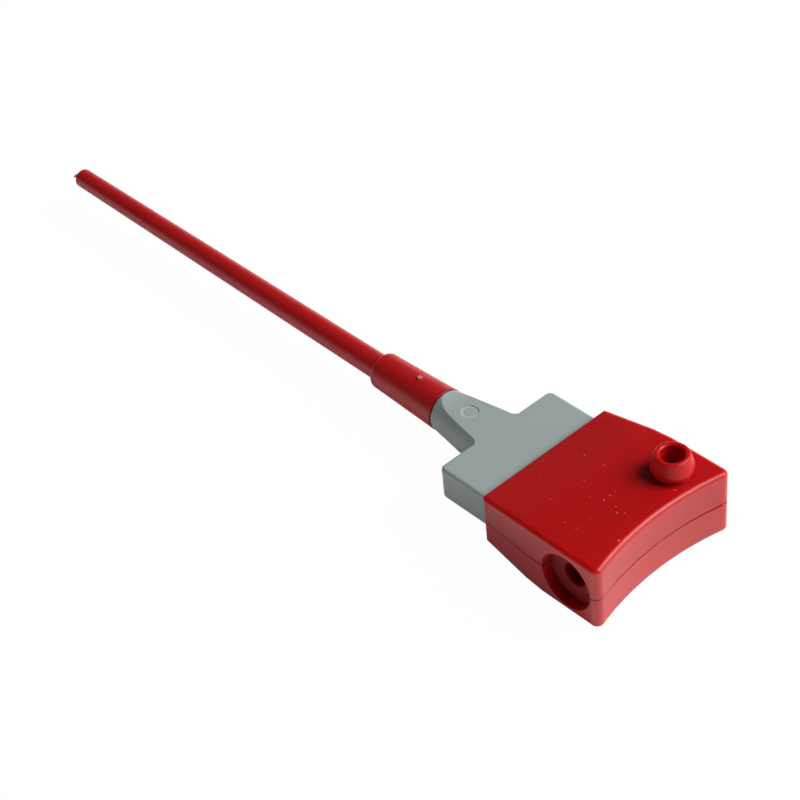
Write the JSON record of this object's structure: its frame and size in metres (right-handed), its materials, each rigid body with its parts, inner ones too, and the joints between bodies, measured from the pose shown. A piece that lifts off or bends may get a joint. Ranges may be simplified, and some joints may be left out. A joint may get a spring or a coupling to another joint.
{
  "type": "grabber test hook",
  "caption": "Grabber test hook: a thumb head slides over a finger grip and pushes wire claws out of a thin insulating tube; its side and top sockets take a 4 mm plug.",
  "frame": {"origin": "middle of the bounding box in plan, on the plane of the head's flat underside", "axes": "claws point along -X, thumb presses towards -X on the +X face, side socket opens towards -Y, top socket towards +Z"},
  "size_m": [0.1601, 0.0308, 0.0166],
  "materials": {
    "red_plastic": "semi-gloss moulded plastic",
    "grey_plastic": "satin moulded plastic",
    "plated_brass": "nickel-plated turned brass",
    "bare_brass": "turned and stamped brass",
    "rod_steel": "drawn steel",
    "spring_steel": "drawn spring wire"
  },
  "bodies": {
    "grip": {"finger_grip": "grey_plastic", "insulating_tube": "red_plastic", "tube_collar": "red_plastic", "spring_washer": "rod_steel", "return_spring": "spring_steel"},
    "plunger": {"head_upper_shell": "red_plastic", "head_lower_shell": "red_plastic", "top_socket_bush": "red_plastic", "side_socket_sleeve": "plated_brass", "top_socket_sleeve": "plated_brass", "contact_bridge": "bare_brass", "rod_bush": "bare_brass", "plunger_rod": "rod_steel", "claw_ferrule": "bare_brass"},
    "left_claw": {"claw_left": "spring_steel"},
    "right_claw": {"claw_right": "spring_steel"}
  },
  "joints": [
    {"name": "plunger_slide", "type": "slide", "parent": "grip", "child": "plunger", "axis": [-1, 0, 0], "range_m": [0, 0.008], "stiffness_N_per_m": 900, "springref_m": -0.003, "deforming": ["return_spring"]},
    {"name": "left_claw_swing", "type": "hinge", "parent": "plunger", "child": "left_claw", "pos_m": [-0.06655, 0, 0.00667], "axis": [0, 0, -1], "range_deg": [0, 10.8]},
    {"name": "right_claw_swing", "type": "hinge", "parent": "plunger", "child": "right_claw", "pos_m": [-0.06655, 0, 0.00593], "axis": [0, 0, 1], "range_deg": [0, 10.8]}
  ],
  "couplings": [
    {"joint": "left_claw_swing", "follows": "plunger_slide", "rad_per_m": 23.561},
    {"joint": "right_claw_swing", "follows": "plunger_slide", "rad_per_m": 23.561}
  ]
}
